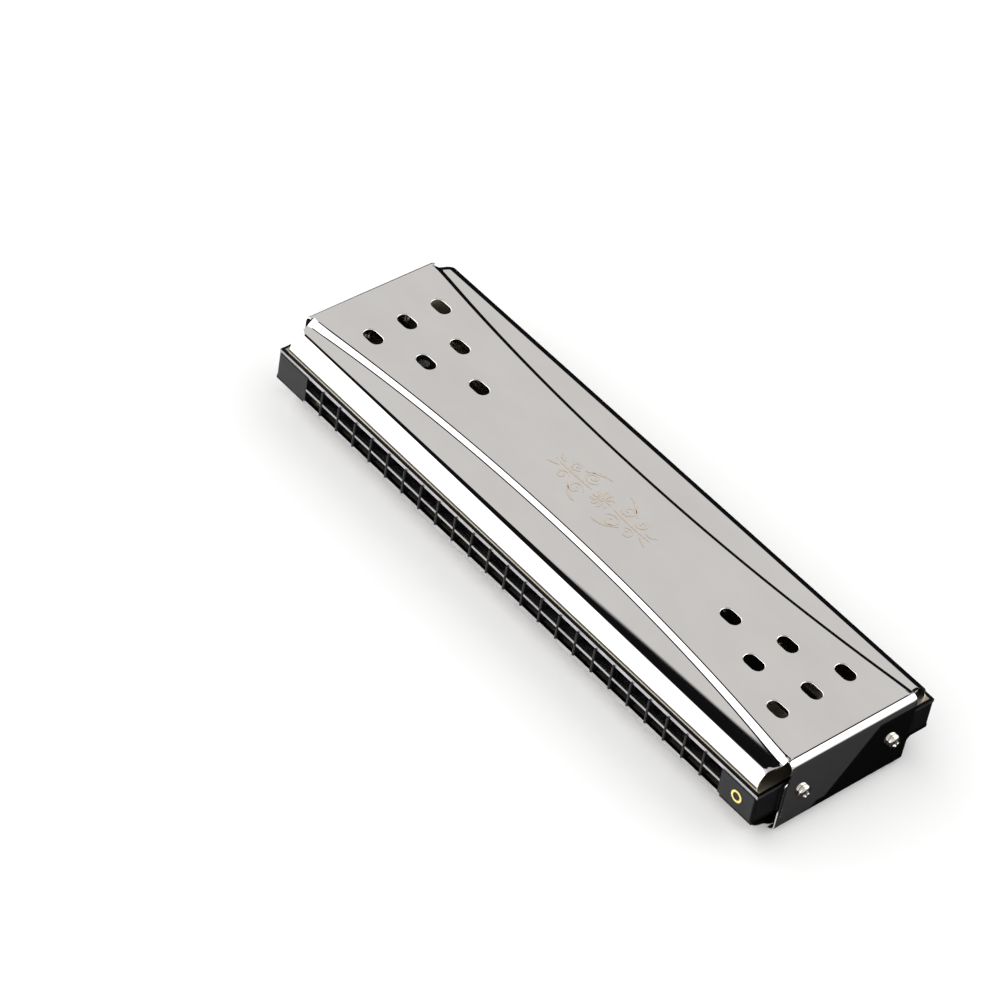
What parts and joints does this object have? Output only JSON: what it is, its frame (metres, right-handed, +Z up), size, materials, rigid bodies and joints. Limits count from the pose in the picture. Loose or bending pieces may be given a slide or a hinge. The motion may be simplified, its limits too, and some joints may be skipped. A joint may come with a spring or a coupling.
{
  "type": "harmonica",
  "caption": "Double-sided tremolo harmonica with mirror-polished hourglass covers, sound holes, a black comb and brass reeds that swing in their plates.",
  "frame": {"origin": "centre of the lower cover's flat panel, which is the instrument's underside, at the bottom centre of its bounding box", "axes": "+X along the instrument towards the treble end of the front mouthpiece, +Y towards the rear mouthpiece, +Z up towards the ornamented upper cover"},
  "size_m": [0.1814, 0.0574, 0.0225],
  "materials": {
    "comb_black": "black moulded plastic with a fine satin skin",
    "septum_metal": "bare cut metal sheet, satin at its edge",
    "pin_steel": "plain ground steel pin",
    "reed_plate_metal": "bright satin along the cut edge, darker plated flats",
    "reed_brass": "thin rolled brass with file scratches along its length",
    "rivet_brass": "small peened brass heads",
    "plate_screw_steel": "small turned screws with a plain slot",
    "cover_chrome": "mirror-polished sheet with a frosted ornament on the upper panel",
    "end_screw_nickel": "nickel-plated pan heads with a cross recess",
    "gilt_mark": "thin gilt stamping with slightly broken edges"
  },
  "bodies": {
    "root": {"comb_upper": "comb_black", "comb_lower": "comb_black", "septum": "septum_metal", "comb_dowels": "pin_steel", "plate_front_upper": "reed_plate_metal", "plate_front_lower": "reed_plate_metal", "plate_rear_upper": "reed_plate_metal", "plate_rear_lower": "reed_plate_metal", "reed_feet_front_upper": "reed_brass", "reed_feet_front_lower": "reed_brass", "reed_feet_rear_upper": "reed_brass", "reed_feet_rear_lower": "reed_brass", "rivets_front_upper": "rivet_brass", "rivets_front_lower": "rivet_brass", "rivets_rear_upper": "rivet_brass", "rivets_rear_lower": "rivet_brass", "plate_screws_upper": "plate_screw_steel", "plate_screws_lower": "plate_screw_steel", "top_cover": "cover_chrome", "bottom_cover": "cover_chrome", "end_screws_left": "end_screw_nickel", "end_screws_right": "end_screw_nickel", "key_mark_front": "gilt_mark", "key_mark_rear": "gilt_mark"},
    "blow_reeds_front_upper": {"blow_reeds_front_upper": "reed_brass"},
    "blow_reeds_front_lower": {"blow_reeds_front_lower": "reed_brass"},
    "blow_reeds_rear_upper": {"blow_reeds_rear_upper": "reed_brass"},
    "blow_reeds_rear_lower": {"blow_reeds_rear_lower": "reed_brass"},
    "draw_reeds_front_upper": {"draw_reeds_front_upper": "reed_brass"},
    "draw_reeds_front_lower": {"draw_reeds_front_lower": "reed_brass"},
    "draw_reeds_rear_upper": {"draw_reeds_rear_upper": "reed_brass"},
    "draw_reeds_rear_lower": {"draw_reeds_rear_lower": "reed_brass"}
  },
  "joints": [
    {"name": "blow_front_upper_swing", "type": "hinge", "parent": "root", "child": "blow_reeds_front_upper", "pos_m": [0, -0.0104, 0.01477], "axis": [-1, 0, 0], "range_deg": [-3, 3], "stiffness_Nm_per_rad": 0.02},
    {"name": "blow_front_lower_swing", "type": "hinge", "parent": "root", "child": "blow_reeds_front_lower", "pos_m": [0, -0.0104, 0.00773], "axis": [-1, 0, 0], "range_deg": [-3, 3], "stiffness_Nm_per_rad": 0.02},
    {"name": "blow_rear_upper_swing", "type": "hinge", "parent": "root", "child": "blow_reeds_rear_upper", "pos_m": [0, 0.0104, 0.01477], "axis": [1, 0, 0], "range_deg": [-3, 3], "stiffness_Nm_per_rad": 0.02},
    {"name": "blow_rear_lower_swing", "type": "hinge", "parent": "root", "child": "blow_reeds_rear_lower", "pos_m": [0, 0.0104, 0.00773], "axis": [1, 0, 0], "range_deg": [-3, 3], "stiffness_Nm_per_rad": 0.02},
    {"name": "draw_front_upper_swing", "type": "hinge", "parent": "root", "child": "draw_reeds_front_upper", "pos_m": [0, -0.0104, 0.01613], "axis": [-1, 0, 0], "range_deg": [-3, 3], "stiffness_Nm_per_rad": 0.02},
    {"name": "draw_front_lower_swing", "type": "hinge", "parent": "root", "child": "draw_reeds_front_lower", "pos_m": [0, -0.0104, 0.00637], "axis": [-1, 0, 0], "range_deg": [-3, 3], "stiffness_Nm_per_rad": 0.02},
    {"name": "draw_rear_upper_swing", "type": "hinge", "parent": "root", "child": "draw_reeds_rear_upper", "pos_m": [0, 0.0104, 0.01613], "axis": [1, 0, 0], "range_deg": [-3, 3], "stiffness_Nm_per_rad": 0.02},
    {"name": "draw_rear_lower_swing", "type": "hinge", "parent": "root", "child": "draw_reeds_rear_lower", "pos_m": [0, 0.0104, 0.00637], "axis": [1, 0, 0], "range_deg": [-3, 3], "stiffness_Nm_per_rad": 0.02}
  ]
}
